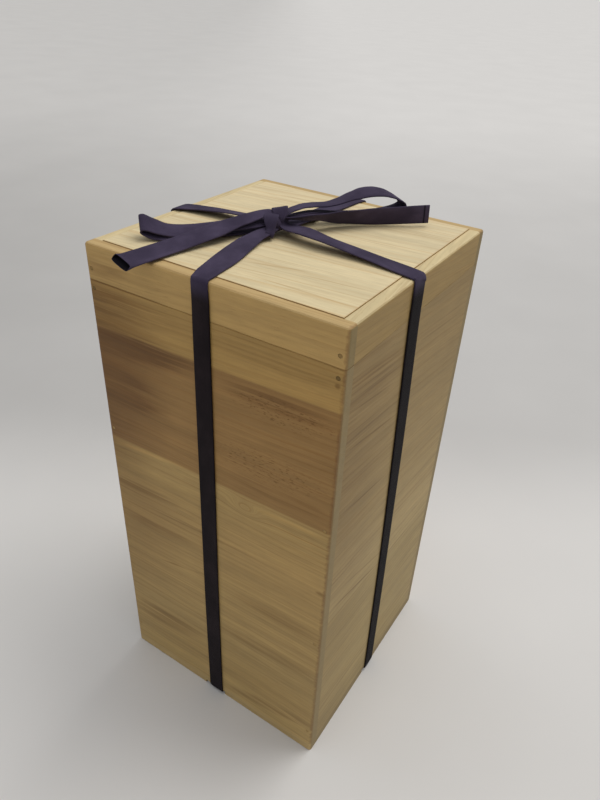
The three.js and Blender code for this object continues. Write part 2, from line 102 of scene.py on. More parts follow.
class Surface:
    """A material's node graph, with short ways to add the nodes that the finishes use."""

    def __init__(self, name: str, roughness: float) -> None:
        """Starts a material with one principled shader.

        Args:
            name: The material's name.
            roughness: The roughness where nothing drives it.
        """
        self.material = bpy.data.materials.new(name)
        self.material.use_nodes = True
        self.tree = self.material.node_tree
        self.tree.nodes.clear()
        self.shader = self.tree.nodes.new("ShaderNodeBsdfPrincipled")
        self.shader.inputs["Roughness"].default_value = roughness
        output = self.tree.nodes.new("ShaderNodeOutputMaterial")
        self.tree.links.new(self.shader.outputs["BSDF"], output.inputs["Surface"])
        self.places = self.tree.nodes.new("ShaderNodeTexCoord")

    def feed(self, socket: bpy.types.NodeSocket, value: object) -> None:
        """Links a socket to another, or sets its value.

        Args:
            socket: The socket that takes the value.
            value: Another node's output, a number, or the numbers of a vector or colour.
        """
        if isinstance(value, bpy.types.NodeSocket):
            self.tree.links.new(value, socket)
        elif isinstance(value, tuple) and len(value) == 3 and socket.type == "RGBA":
            socket.default_value = (*value, 1.0)
        else:
            socket.default_value = value

    def math(self, operation: str, a: object, b: object = 0.0, clamp: bool = False) -> bpy.types.NodeSocket:
        """Adds a Math node.

        Args:
            operation: What it works out.
            a: The first value.
            b: The second value.
            clamp: Whether the result is held between 0 and 1.

        Returns:
            The result's socket.
        """
        node = self.tree.nodes.new("ShaderNodeMath")
        node.operation = operation
        node.use_clamp = clamp
        self.feed(node.inputs[0], a)
        self.feed(node.inputs[1], b)
        return node.outputs[0]

    def total(self, *terms: tuple[object, float]) -> bpy.types.NodeSocket:
        """Adds up several values, each times its own factor.

        Args:
            *terms: Pairs of a value and its factor.

        Returns:
            The sum's socket.
        """
        result = self.math("MULTIPLY", *terms[0])
        for value, factor in terms[1:]:
            node = self.tree.nodes.new("ShaderNodeMath")
            node.operation = "MULTIPLY_ADD"
            self.feed(node.inputs[0], value)
            self.feed(node.inputs[1], factor)
            self.feed(node.inputs[2], result)
            result = node.outputs[0]
        return result

    def vector(self, x: object, y: object, z: object) -> bpy.types.NodeSocket:
        """Joins three values into a vector.

        Args:
            x: The first value.
            y: The second value.
            z: The third value.

        Returns:
            The vector's socket.
        """
        node = self.tree.nodes.new("ShaderNodeCombineXYZ")
        for socket, value in zip(node.inputs, (x, y, z)):
            self.feed(socket, value)
        return node.outputs[0]

    def parts(self, vector: bpy.types.NodeSocket) -> list[bpy.types.NodeSocket]:
        """Splits a vector into its three values.

        Args:
            vector: The vector.

        Returns:
            The sockets of its three values.
        """
        node = self.tree.nodes.new("ShaderNodeSeparateXYZ")
        self.feed(node.inputs[0], vector)
        return list(node.outputs)

    def attribute(self, name: str) -> bpy.types.NodeSocket:
        """Reads a value that the mesh keeps at its points.

        Args:
            name: The attribute's name.

        Returns:
            The value, 0 where a mesh has none.
        """
        node = self.tree.nodes.new("ShaderNodeAttribute")
        node.attribute_name = name
        return node.outputs["Fac"]

    def noise(self, vector: object, scale: float, detail: float = 2.0, rough: float = 0.5) -> bpy.types.NodeSocket:
        """Adds a Noise texture.

        Args:
            vector: Where it is read.
            scale: How fine it is.
            detail: The number of finer layers.
            rough: How strong the finer layers are.

        Returns:
            Its grey value, about a half on average.
        """
        node = self.tree.nodes.new("ShaderNodeTexNoise")
        self.feed(node.inputs["Vector"], vector)
        node.inputs["Scale"].default_value = scale
        node.inputs["Detail"].default_value = detail
        node.inputs["Roughness"].default_value = rough
        return node.outputs["Fac"]

    def steps(self, value: object, low: float, high: float, smooth: bool = True) -> bpy.types.NodeSocket:
        """Maps a value from 0 at low to 1 at high, and holds it beyond.

        Args:
            value: What is mapped.
            low: Where the result is 0.
            high: Where the result is 1.
            smooth: Whether the change eases in and out.

        Returns:
            The mapped value.
        """
        node = self.tree.nodes.new("ShaderNodeMapRange")
        node.interpolation_type = "SMOOTHSTEP" if smooth else "LINEAR"
        self.feed(node.inputs["Value"], value)
        node.inputs["From Min"].default_value = low
        node.inputs["From Max"].default_value = high
        return node.outputs["Result"]

    def ramp(self, value: object, stops: list[tuple[float, Colour]]) -> bpy.types.NodeSocket:
        """Adds a colour ramp.

        Args:
            value: The place on the ramp, from 0 to 1.
            stops: Places and their colours, in order.

        Returns:
            The colour.
        """
        node = self.tree.nodes.new("ShaderNodeValToRGB")
        elements = node.color_ramp.elements
        while len(elements) < len(stops):
            elements.new(1.0)
        for element, (place, colour) in zip(elements, stops):
            element.position = place
            element.color = (*colour, 1.0)
        self.feed(node.inputs[0], value)
        return node.outputs["Color"]

    def mix(self, factor: object, a: object, b: object, blend: str = "MIX") -> bpy.types.NodeSocket:
        """Mixes two colours.

        Args:
            factor: How much of the second there is.
            a: The first colour.
            b: The second colour.
            blend: The way that they are mixed.

        Returns:
            The mixed colour.
        """
        node = self.tree.nodes.new("ShaderNodeMix")
        node.data_type = "RGBA"
        node.blend_type = blend
        self.feed(node.inputs[0], factor)
        self.feed(node.inputs[6], a)
        self.feed(node.inputs[7], b)
        return node.outputs[2]

    def bump(self, height: object, depth: float, strength: float = 1.0) -> None:
        """Gives the shader a bump.

        Args:
            height: The height, from 0 to 1.
            depth: The height of 1, in metres.
            strength: How strongly it shows.
        """
        node = self.tree.nodes.new("ShaderNodeBump")
        node.inputs["Strength"].default_value = strength
        node.inputs["Distance"].default_value = depth
        self.feed(node.inputs["Height"], height)
        self.feed(self.shader.inputs["Normal"], node.outputs["Normal"])


@dataclass(frozen=True)
class StainAndShade:
    """A soft dark place in a board, longer along the grain, or a light one where the strength is below zero; most are
    the wood's own marks, some are painted shade and painted light.
    """

    along: float
    across: float
    half_length: float
    half_width: float
    strength: float
    slope: float = 0.03
    mark: Mark = Mark.SOFT


@dataclass(frozen=True)
class WoodFinish:
    """Planed paulownia: fine straight rings, fibre, open pores, dark and light marks (some of them painted shade and
    painted light) and glued planks.
    """

    name: str
    along: Along
    planks: tuple[tuple[float, Colour], ...]
    plank_low: float
    plank_high: float
    plank_slope: float = 0.03
    on_top: bool = False
    ring_spacing: float = 5 * MM
    ring_strength: float = 0.4
    ring_slope: float = 0.03
    ring_bow: float = 0.0
    depth_slope: float = 0.7
    fibre_strength: float = 0.36
    line_strength: float = 0.28
    pore_strength: float = 0.3
    mottle_strength: float = 0.3
    seed: float = 0.0
    stains_and_shades: tuple[StainAndShade, ...] = ()
    stain_and_shade_colour: Colour = (0.54, 0.46, 0.38)
    end_colour: Colour = linear(148, 128, 88)
    edge_colour: Colour | None = None
    corner_colour: Colour | None = None
    # Painted light: a lighter colour for the faces that look up.
    painted_top_light: Colour | None = None
    gap_line: tuple[float, float] | None = None
    gap_colour: Colour = linear(186, 150, 100)
    knot_place: tuple[float, float] | None = None
    ring_tint: Colour = (0.66, 0.54, 0.42)

    def build(self) -> bpy.types.Material:
        """Builds the material.

        Returns:
            The finished material.
        """
        s = Surface(self.name, 0.62)
        x, y, z = s.parts(s.places.outputs["Object"])
        along = (x, y)[self.along.value]
        across = (y if self.along is Along.X else x) if self.on_top else z
        depth = z if self.on_top else (y if self.along is Along.X else x)
        ringed = self.ring_place(s, along, across, depth)
        rings = self.rings(s, ringed, along)
        fibre = self.streaks(s, along, ringed, 9.0, 900.0, detail=3.0)
        tone = self.streaks(s, along, ringed, 5.0, 90.0, detail=2.0)
        broad = self.streaks(s, along, ringed, 2.0, 34.0, detail=1.0)
        lines = s.steps(self.streaks(s, along, ringed, 3.0, 430.0, detail=1.0), 0.58, 0.7)
        pores = s.steps(self.streaks(s, along, ringed, 120.0, 2300.0, detail=2.0), 0.62, 0.75)
        colour = self.plank_colour(s, along, across)
        # Painted light: faces that look up take a lighter colour of the same wood.
        if self.painted_top_light:
            upward = s.parts(s.places.outputs["Normal"])[2]
            colour = s.mix(s.steps(upward, 0.35, 0.95), colour, self.painted_top_light)
        colour = s.mix(s.math("MULTIPLY", rings, self.ring_strength), colour, self.ring_tint, "MULTIPLY")
        colour = s.mix(s.math("MULTIPLY", lines, self.line_strength), colour, self.ring_tint, "MULTIPLY")
        mottle = self.streaks(s, along, ringed, 45.0, 330.0, detail=2.0)
        shade = s.total(
            (fibre, self.fibre_strength), (tone, 1.5 * self.fibre_strength), (broad, self.fibre_strength),
            (mottle, self.mottle_strength),
        )
        shade = s.math("ADD", shade, 1.0 - 1.75 * self.fibre_strength - 0.5 * self.mottle_strength)
        colour = s.mix(1.0, colour, s.vector(shade, shade, shade), "MULTIPLY")
        colour = s.mix(s.math("MULTIPLY", pores, self.pore_strength), colour, (0.5, 0.36, 0.24), "MULTIPLY")
        # Dark and light marks: the wood's own streaks and spots, with some painted shade and painted light among them.
        for lighter in (False, True):
            marks = [each_mark for each_mark in self.stains_and_shades if (each_mark.strength < 0) is lighter]
            if marks:
                tint = (1.32, 1.26, 1.16) if lighter else self.stain_and_shade_colour
                colour = s.mix(self.stained_and_shaded(s, marks, along, across, ringed), colour, tint, "MULTIPLY")
        colour = self.edges(s, colour, (x, y, z), along, tone)
        s.feed(s.shader.inputs["Base Color"], colour)
        s.feed(s.shader.inputs["Roughness"], s.math("ADD", s.math("MULTIPLY", fibre, 0.18), 0.5))
        s.shader.inputs["Specular IOR Level"].default_value = 0.3
        s.bump(s.total((fibre, 0.6), (rings, -0.25), (pores, -0.5)), 0.25 * MM, 0.5)
        return s.material

    def ring_place(self, s: Surface, along: Socket, across: Socket, depth: Socket) -> Socket:
        """Finds how far a point lies across the growth rings, which wander slowly along the board.

        Args:
            s: The surface that gets the nodes.
            along: The place along the board.
            across: The place across it.
            depth: The place through it.

        Returns:
            The place across the rings, in metres.
        """
        slow = s.noise(s.vector(s.math("MULTIPLY", along, 3.2), s.math("MULTIPLY", across, 11.0), self.seed), 1.0)
        wander = s.noise(
            s.vector(s.math("MULTIPLY", along, 16.0), s.math("MULTIPLY", across, 50.0), self.seed + 7), 1.0
        )
        terms = [
            (across, 1.0), (along, -self.ring_slope), (depth, self.depth_slope), (slow, 0.016), (wander, 0.0022),
        ]
        if self.ring_bow:
            terms.append((s.math("MULTIPLY", along, along), -self.ring_bow))
        if self.knot_place:
            terms.append((self.swirl(s, along, across), 1.0))
        return s.total(*terms)

    def streaks(self, s: Surface, along: Socket, ringed: Socket, long: float, fine: float, detail: float) -> Socket:
        """Makes a noise that is stretched along the grain.

        Args:
            s: The surface that gets the nodes.
            along: The place along the board.
            ringed: The place across the rings.
            long: How often it changes in a metre along the grain.
            fine: How often it changes in a metre across the grain.
            detail: The number of finer layers.

        Returns:
            Its grey value, about a half on average.
        """
        place = s.vector(s.math("MULTIPLY", along, long), s.math("MULTIPLY", ringed, fine), self.seed + fine / 90)
        return s.noise(place, 1.0, detail, 0.6)

    def rings(self, s: Surface, ringed: Socket, along: Socket) -> Socket:
        """Makes the growth rings: each darkens slowly and ends sharply, and many fade out along the board.

        Args:
            s: The surface that gets the nodes.
            ringed: The place across the rings.
            along: The place along the board.

        Returns:
            How dark the ring is, from 0 to 1.
        """
        uneven = s.noise(s.vector(0.0, s.math("MULTIPLY", ringed, 26.0), self.seed + 11), 1.0, 1.0)
        phase = s.math("FRACT", s.total((ringed, 1 / self.ring_spacing), (uneven, 5.0)))
        rise = s.math("POWER", phase, 3.0)
        ring = s.math("MULTIPLY", rise, s.steps(phase, 1.0, 0.9))
        present = self.streaks(s, along, ringed, 2.5, 120.0, detail=1.0)
        return s.math("MULTIPLY", ring, s.steps(present, 0.3, 0.65))

    def plank_colour(self, s: Surface, along: Socket, across: Socket) -> Socket:
        """Gives each glued plank its own colour.

        Args:
            s: The surface that gets the nodes.
            along: The place along the board.
            across: The place across it.

        Returns:
            The colour.
        """
        height = s.total((across, 1.0), (along, -self.plank_slope))
        place = s.steps(height, self.plank_low, self.plank_high, smooth=False)
        return s.ramp(place, list(self.planks))

    def swirl(self, s: Surface, along: Socket, across: Socket) -> Socket:
        """Bends the rings round a small knot.

        Args:
            s: The surface that gets the nodes.
            along: The place along the board.
            across: The place across it.

        Returns:
            How far the rings are pushed aside, in metres.
        """
        du = s.math("MULTIPLY", s.math("SUBTRACT", along, self.knot_place[0]), 1 / 0.013)
        dv = s.math("MULTIPLY", s.math("SUBTRACT", across, self.knot_place[1]), 1 / 0.006)
        far = s.math("ADD", s.math("MULTIPLY", du, du), s.math("MULTIPLY", dv, dv))
        return s.math("MULTIPLY", s.math("POWER", math.e, s.math("MULTIPLY", far, -1.0)), 0.012)

    def stained_and_shaded(self, s: Surface, marks: list[StainAndShade], along: Socket, across: Socket, ringed: Socket) -> Socket:
        """Adds up some dark or light marks, broken up along the grain, or into short dark pores.

        Args:
            s: The surface that gets the nodes.
            marks: The dark or light marks.
            along: The place along the board.
            across: The place across it.
            ringed: The place across the rings.

        Returns:
            How strong the marks are together, from 0 to 1.
        """
        soft = s.steps(self.streaks(s, along, ringed, 7.0, 260.0, detail=3.0), 0.32, 0.62)
        specks = s.steps(self.streaks(s, along, ringed, 240.0, 950.0, detail=2.0), 0.54, 0.68)
        broken = {Mark.SOFT: soft, Mark.SPECKED: specks, Mark.LINE: 1.0}
        whole = None
        for each_mark in marks:
            away = s.math("SUBTRACT", along, each_mark.along)
            du = s.math("MULTIPLY", away, 1 / each_mark.half_length)
            dv = s.total((s.math("SUBTRACT", across, each_mark.across), 1.0), (away, -each_mark.slope))
            dv = s.math("MULTIPLY", dv, 1 / each_mark.half_width)
            far = s.math("ADD", s.math("MULTIPLY", du, du), s.math("MULTIPLY", dv, dv))
            spot = s.math("MULTIPLY", s.steps(far, 1.0, 0.0), abs(each_mark.strength))
            spot = s.math("MULTIPLY", spot, broken[each_mark.mark])
            whole = spot if whole is None else s.math("ADD", whole, spot)
        return s.math("MINIMUM", whole, 1.0)

    def edges(self, s: Surface, colour: Socket, place: tuple[Socket, ...], along: Socket, tone: Socket) -> Socket:
        """Colours the sawn ends, the upright edges, the corner and the line beside the panel's gap.

        Args:
            s: The surface that gets the nodes.
            colour: The colour so far.
            place: The point's three coordinates.
            along: The place along the board.
            tone: A soft noise along the grain.

        Returns:
            The colour.
        """
        normal = s.parts(s.places.outputs["Normal"])
        if self.corner_colour:
            ragged = s.total((s.math("ABSOLUTE", along), 1.0), (s.noise(s.vector(*place), 260.0, 2.0, 0.7), 0.004))
            corner = s.math("MULTIPLY", s.steps(ragged, 0.0995, 0.102), 0.55)
            colour = s.mix(corner, colour, self.corner_colour)
        if self.gap_line:
            reach = s.math("MAXIMUM", s.math("ABSOLUTE", place[0]), s.math("ABSOLUTE", place[1]))
            low, high = self.gap_line
            line = s.math("MULTIPLY", s.steps(reach, low, low + 0.3 * MM), s.steps(reach, high, high - 0.3 * MM))
            line = s.math("MULTIPLY", line, s.steps(tone, 0.2, 0.5))
            colour = s.mix(s.math("MULTIPLY", line, 0.5), colour, self.gap_colour)
        speck = s.noise(s.places.outputs["Object"], 1400.0, 2.0, 0.6)
        band = s.noise(s.places.outputs["Object"], 160.0)
        value = s.math("ADD", s.total((speck, 0.35), (band, 0.3)), 0.66)
        end = s.mix(1.0, self.end_colour, s.vector(value, value, value), "MULTIPLY")
        colour = s.mix(s.steps(s.math("ABSOLUTE", normal[self.along.value]), 0.75, 0.95), colour, end)
        if self.edge_colour:
            upright = s.steps(s.math("ABSOLUTE", normal[2]), 0.55, 0.2)
            colour = s.mix(upright, colour, self.edge_colour)
        return colour


@dataclass(frozen=True)
class PegFinish:
    """The end grain of a small hardwood peg."""

    name: str = "peg_end_grain"
    colour: Colour = linear(172, 140, 84)

    def build(self) -> bpy.types.Material:
        """Builds the material.

        Returns:
            The finished material.
        """
        s = Surface(self.name, 0.7)
        speck = s.noise(s.places.outputs["Object"], 2600.0, 2.0, 0.7)
        value = s.math("ADD", s.math("MULTIPLY", speck, 0.8), 0.6)
        s.feed(s.shader.inputs["Base Color"], s.mix(1.0, self.colour, s.vector(value, value, value), "MULTIPLY"))
        s.bump(speck, 0.1 * MM, 0.4)
        return s.material


@dataclass(frozen=True)
class CottonFinish:
    """Flat woven cotton cord, read from the cord's own UV map in metres across and along."""

    name: str = "woven_cotton"
    colour: Colour = linear(62, 54, 73)
    worn: Colour = linear(79, 70, 91)
    # Painted shade: darker colours for the cord where it stands on the walls, and more on the right wall.
    painted_wall_shade: Colour = (0.29, 0.255, 0.17)
    painted_shade_height: float = 0.402
    painted_right_wall_shade: Colour = (0.42, 0.4, 0.42)
    # Darkens the sewn stitch line, and paints shade into the open end's inside.
    stitch_and_painted_mouth_shade: Colour = (0.06, 0.06, 0.07)
    rib_spacing: float = 1.1 * MM
    yarn_spacing: float = 0.75 * MM

    def build(self) -> bpy.types.Material:
        """Builds the material.

        Returns:
            The finished material.
        """
        s = Surface(self.name, 0.86)
        u, v, _ = s.parts(s.places.outputs["UV"])
        rib = s.math("SINE", s.math("MULTIPLY", v, 2 * math.pi / self.rib_spacing))
        yarn = s.math("SINE", s.math("MULTIPLY", u, 2 * math.pi / self.yarn_spacing))
        weave = s.math("MULTIPLY", rib, yarn)
        fuzz = s.noise(s.vector(s.math("MULTIPLY", u, 1800.0), s.math("MULTIPLY", v, 1100.0), 0.0), 1.0, 2.0, 0.7)
        tone = s.noise(s.vector(s.math("MULTIPLY", u, 60.0), s.math("MULTIPLY", v, 30.0), 2.0), 1.0, 3.0, 0.6)
        value = s.total((weave, 0.05), (fuzz, 0.32), (tone, 0.3))
        value = s.math("ADD", value, 0.68)
        colour = s.mix(s.steps(tone, 0.35, 0.75), self.colour, self.worn)
        # Painted shade: the cord is darker below the given height, where it runs down the walls.
        height = s.parts(s.places.outputs["Object"])[2]
        low = s.steps(height, self.painted_shade_height + 6 * MM, self.painted_shade_height - 8 * MM)
        colour = s.mix(low, colour, self.painted_wall_shade, "MULTIPLY")
        # Painted shade: darker still where the cord faces right, on the right wall.
        rightward = s.steps(s.parts(s.places.outputs["Normal"])[0], 0.5, 0.9)
        colour = s.mix(s.math("MULTIPLY", low, rightward), colour, self.painted_right_wall_shade, "MULTIPLY")
        # The sewn stitch line across the last end is darkened, and the open first end's inside gets painted shade.
        colour = s.mix(s.attribute("shade"), colour, self.stitch_and_painted_mouth_shade, "MULTIPLY")
        s.feed(s.shader.inputs["Base Color"], s.mix(1.0, colour, s.vector(value, value, value), "MULTIPLY"))
        s.shader.inputs["Sheen Weight"].default_value = 0.03
        s.shader.inputs["Sheen Roughness"].default_value = 0.5
        s.shader.inputs["Specular IOR Level"].default_value = 0.08
        s.bump(s.total((weave, 0.5), (fuzz, 0.5)), 0.22 * MM, 0.6)
        return s.material


@dataclass
class Station:
    """One section of the flat cord: its centre, frame and size."""

    centre: Vector
    across: Vector
    normal: Vector
    width: float
    thickness: float
    cup: float
    travelled: float
    slant: float = 0.0
    shade: float = 0.0


@dataclass
class FlatCord:
    """A flat cord through given points, made by extruding one rounded section along a smooth curve."""

    rows: list[Row]
    width: float = 14.5 * MM
    thickness: float = 1.25 * MM
    step: float = 2.2 * MM
    turn_step: float = math.radians(7)
    section_points: int = 20
    section_power: float = 0.28
    hem_length: float = 0.0
    hem_thickness: float = 0.5 * MM
    hem_step: float = 0.6 * MM
    stitch_width: float = 0.8 * MM
    mouth_length: float = 8 * MM
    mouth_height: float = 1.9 * MM
    mouth_slant: float = 3.6 * MM
    mouth_depth: float = 3 * MM
    lip: float = 0.35 * MM

    def curve_point(self, i: int, t: float) -> tuple[Vector, Vector]:
        """Finds a point of the centripetal curve between two rows.

        Args:
            i: The number of the row that the span starts at.
            t: The place in the span, from 0 to 1.

        Returns:
            The point and the way that the curve runs there.
        """
        points = [Vector(row[:3]) * MM for row in self.rows[max(i - 1, 0):i + 3]]
        if i == 0:
            points.insert(0, points[0] * 2 - points[1])
        if i + 2 >= len(self.rows):
            points.append(points[-1] * 2 - points[-2])
        p0, p1, p2, p3 = points
        k0, k1, k2 = (max((b - a).length, 1e-7) ** 0.5 for a, b in zip(points, points[1:]))
        m1 = ((p1 - p0) / k0 - (p2 - p0) / (k0 + k1) + (p2 - p1) / k1) * k1
        m2 = ((p2 - p1) / k1 - (p3 - p1) / (k1 + k2) + (p3 - p2) / k2) * k1
        a = (p1 - p2) * 2 + m1 + m2
        b = (p2 - p1) * 3 - m1 * 2 - m2
        return ((a * t + b) * t + m1) * t + p1, ((a * t * 3 + b * 2) * t + m1).normalized()

    def stations(self) -> list[Station]:
        """Steps along the whole route.

        Returns:
            The sections, closer together where the cord turns.
        """
        made: list[Station] = []
        travelled = 0.0
        for i in range(len(self.rows) - 1):
            one, two = self.rows[i], self.rows[i + 1]
            span = (Vector(two[:3]) - Vector(one[:3])).length * MM
            bend = self.curve_point(i, 0.0)[1].angle(self.curve_point(i, 1.0)[1])
            twist = Vector(one[3:6]).angle(Vector(two[3:6]))
            longest = 5 * self.step if bend + twist < 0.02 else self.step
            if self.hem_length and i in (0, len(self.rows) - 2):
                longest = self.hem_step
            count = max(1, math.ceil(span / longest), math.ceil((bend + twist) / self.turn_step))
            last = i == len(self.rows) - 2
            for k in range(count + last):
                t = k / count
                centre, tangent = self.curve_point(i, t)
                ease = t * t * (3 - 2 * t)
                across = Vector(one[3:6]).normalized().lerp(Vector(two[3:6]).normalized(), ease)
                across = (across - tangent * across.dot(tangent)).normalized()
                share = one[6] + (two[6] - one[6]) * ease
                cup = (one[7] + (two[7] - one[7]) * ease) * MM
                if made:
                    travelled += (centre - made[-1].centre).length
                made.append(Station(centre, across, tangent.cross(across), self.width * share, self.thickness, cup, travelled))
        if self.hem_length:
            self.hem(made)
        return made

    def hem(self, made: list[Station]) -> None:
        """Thickens both ends to a hem, opens the first end and sews a dark stitch line across the last.

        Args:
            made: The cord's sections, which it changes.
        """
        whole = made[-1].travelled
        for station in made:
            to_last = whole - station.travelled
            if min(station.travelled, to_last) < self.hem_length:
                station.thickness += self.hem_thickness
            station.shade = max(0.0, 1 - abs(to_last - self.hem_length) / self.stitch_width)
            opening = max(0.0, 1 - station.travelled / self.mouth_length)
            station.thickness += self.mouth_height * opening ** 2
            station.slant = self.mouth_slant * opening

    def section(self, station: Station) -> list[Vector]:
        """Finds the points of the rounded flat section at a station.

        Args:
            station: The section's centre, frame and size.

        Returns:
            The points, in order round the section.
        """
        tangent = station.across.cross(station.normal)
        points = []
        for k in range(self.section_points):
            angle = 2 * math.pi * k / self.section_points
            c, s = math.cos(angle), math.sin(angle)
            u = math.copysign(abs(c) ** 0.75, c)
            v = math.copysign(abs(s) ** self.section_power, s)
            lift = station.cup * (u * u - 0.4)
            points.append(
                station.centre
                + station.across * (u * station.width / 2)
                + station.normal * (v * station.thickness / 2 + lift)
                + tangent * (station.slant * (v + 1) / 2)
            )
        return points

    def hollow(self, bm: bmesh.types.BMesh, cap: bmesh.types.BMFace, station: Station) -> None:
        """Hollows the cord's first end, so that one looks into the woven tube, whose inside is darkened as painted
        shade.

        Args:
            bm: The cord's mesh.
            cap: The face that closes the end.
            station: The section at the end.
        """
        shade = bm.verts.layers.float["shade"]
        bmesh.ops.inset_individual(bm, faces=[cap], thickness=self.lip)
        # Painted shade: the inside of the open end is marked for a near-black colour.
        for vert in cap.verts:
            vert[shade] = 1.0
        tangent = station.across.cross(station.normal)
        inner = bmesh.ops.extrude_discrete_faces(bm, faces=[cap])["faces"][0]
        for vert in inner.verts:
            height = (vert.co - station.centre).dot(station.normal)
            vert.co += tangent * self.mouth_depth - station.normal * (height * 0.6)

    def mesh(self, name: str) -> tuple[bpy.types.Object, list[Vector]]:
        """Makes the cord's mesh with its UV map.

        Args:
            name: The piece's name.

        Returns:
            The object and the points that its centre follows.
        """
        stations = self.stations()
        bm = bmesh.new()
        uv = bm.loops.layers.uv.new("UVMap")
        shade = bm.verts.layers.float.new("shade")
        ring = [bm.verts.new(p) for p in self.section(stations[0])]
        first = ring
        edges = [bm.edges.new((a, b)) for a, b in zip(ring, ring[1:] + ring[:1])]
        for before, station in zip(stations, stations[1:]):
            made = bmesh.ops.extrude_edge_only(bm, edges=edges)["geom"]
            new_edges = [e for e in made if isinstance(e, bmesh.types.BMEdge)]
            step = {}
            for edge in made:
                if isinstance(edge, bmesh.types.BMFace):
                    for e in edge.edges:
                        a, b = e.verts
                        if (a in ring) != (b in ring):
                            step[a if a in ring else b] = b if a in ring else a
            fresh = [step[v] for v in ring]
            for vert, place in zip(fresh, self.section(station)):
                vert.co = place
                vert[shade] = station.shade
            for face in (f for f in made if isinstance(f, bmesh.types.BMFace)):
                face.smooth = True
                for loop in face.loops:
                    old = loop.vert in step
                    which = ring.index(loop.vert) if old else fresh.index(loop.vert)
                    angle = 2 * math.pi * which / self.section_points
                    here = before if old else station
                    loop[uv].uv = (math.cos(angle) * here.width / 2, here.travelled)
            ring, edges = fresh, [bm.edges.get((a, b)) for a, b in zip(fresh, fresh[1:] + fresh[:1])]
        cap, _ = (bm.faces.new(end) for end in (first, ring))
        bmesh.ops.recalc_face_normals(bm, faces=bm.faces)
        if self.hem_length:
            self.hollow(bm, cap, stations[0])
        data = bpy.data.meshes.new(name)
        bm.to_mesh(data)
        bm.free()
        piece = bpy.data.objects.new(name, data)
        bpy.context.scene.collection.objects.link(piece)
        return piece, [s.centre for s in stations]


def joined(*stretches: list[Row]) -> list[Row]:
    """Joins stretches of a route into one, turning each so that the cord isn't twisted where they meet.

    Args:
        *stretches: Rows of a point, the across vector, the width's share and, if given, the cup.

    Returns:
        One list of rows of eight numbers.
    """
    route: list[Row] = []
    for stretch in stretches:
        rows = [row if len(row) == 8 else (*row, 0.0) for row in stretch]
        if route and Vector(route[-1][3:6]).dot(Vector(rows[0][3:6])) < 0:
            rows = [(*r[:3], -r[3], -r[4], -r[5], r[6], r[7]) for r in rows]
        route += rows
    return route


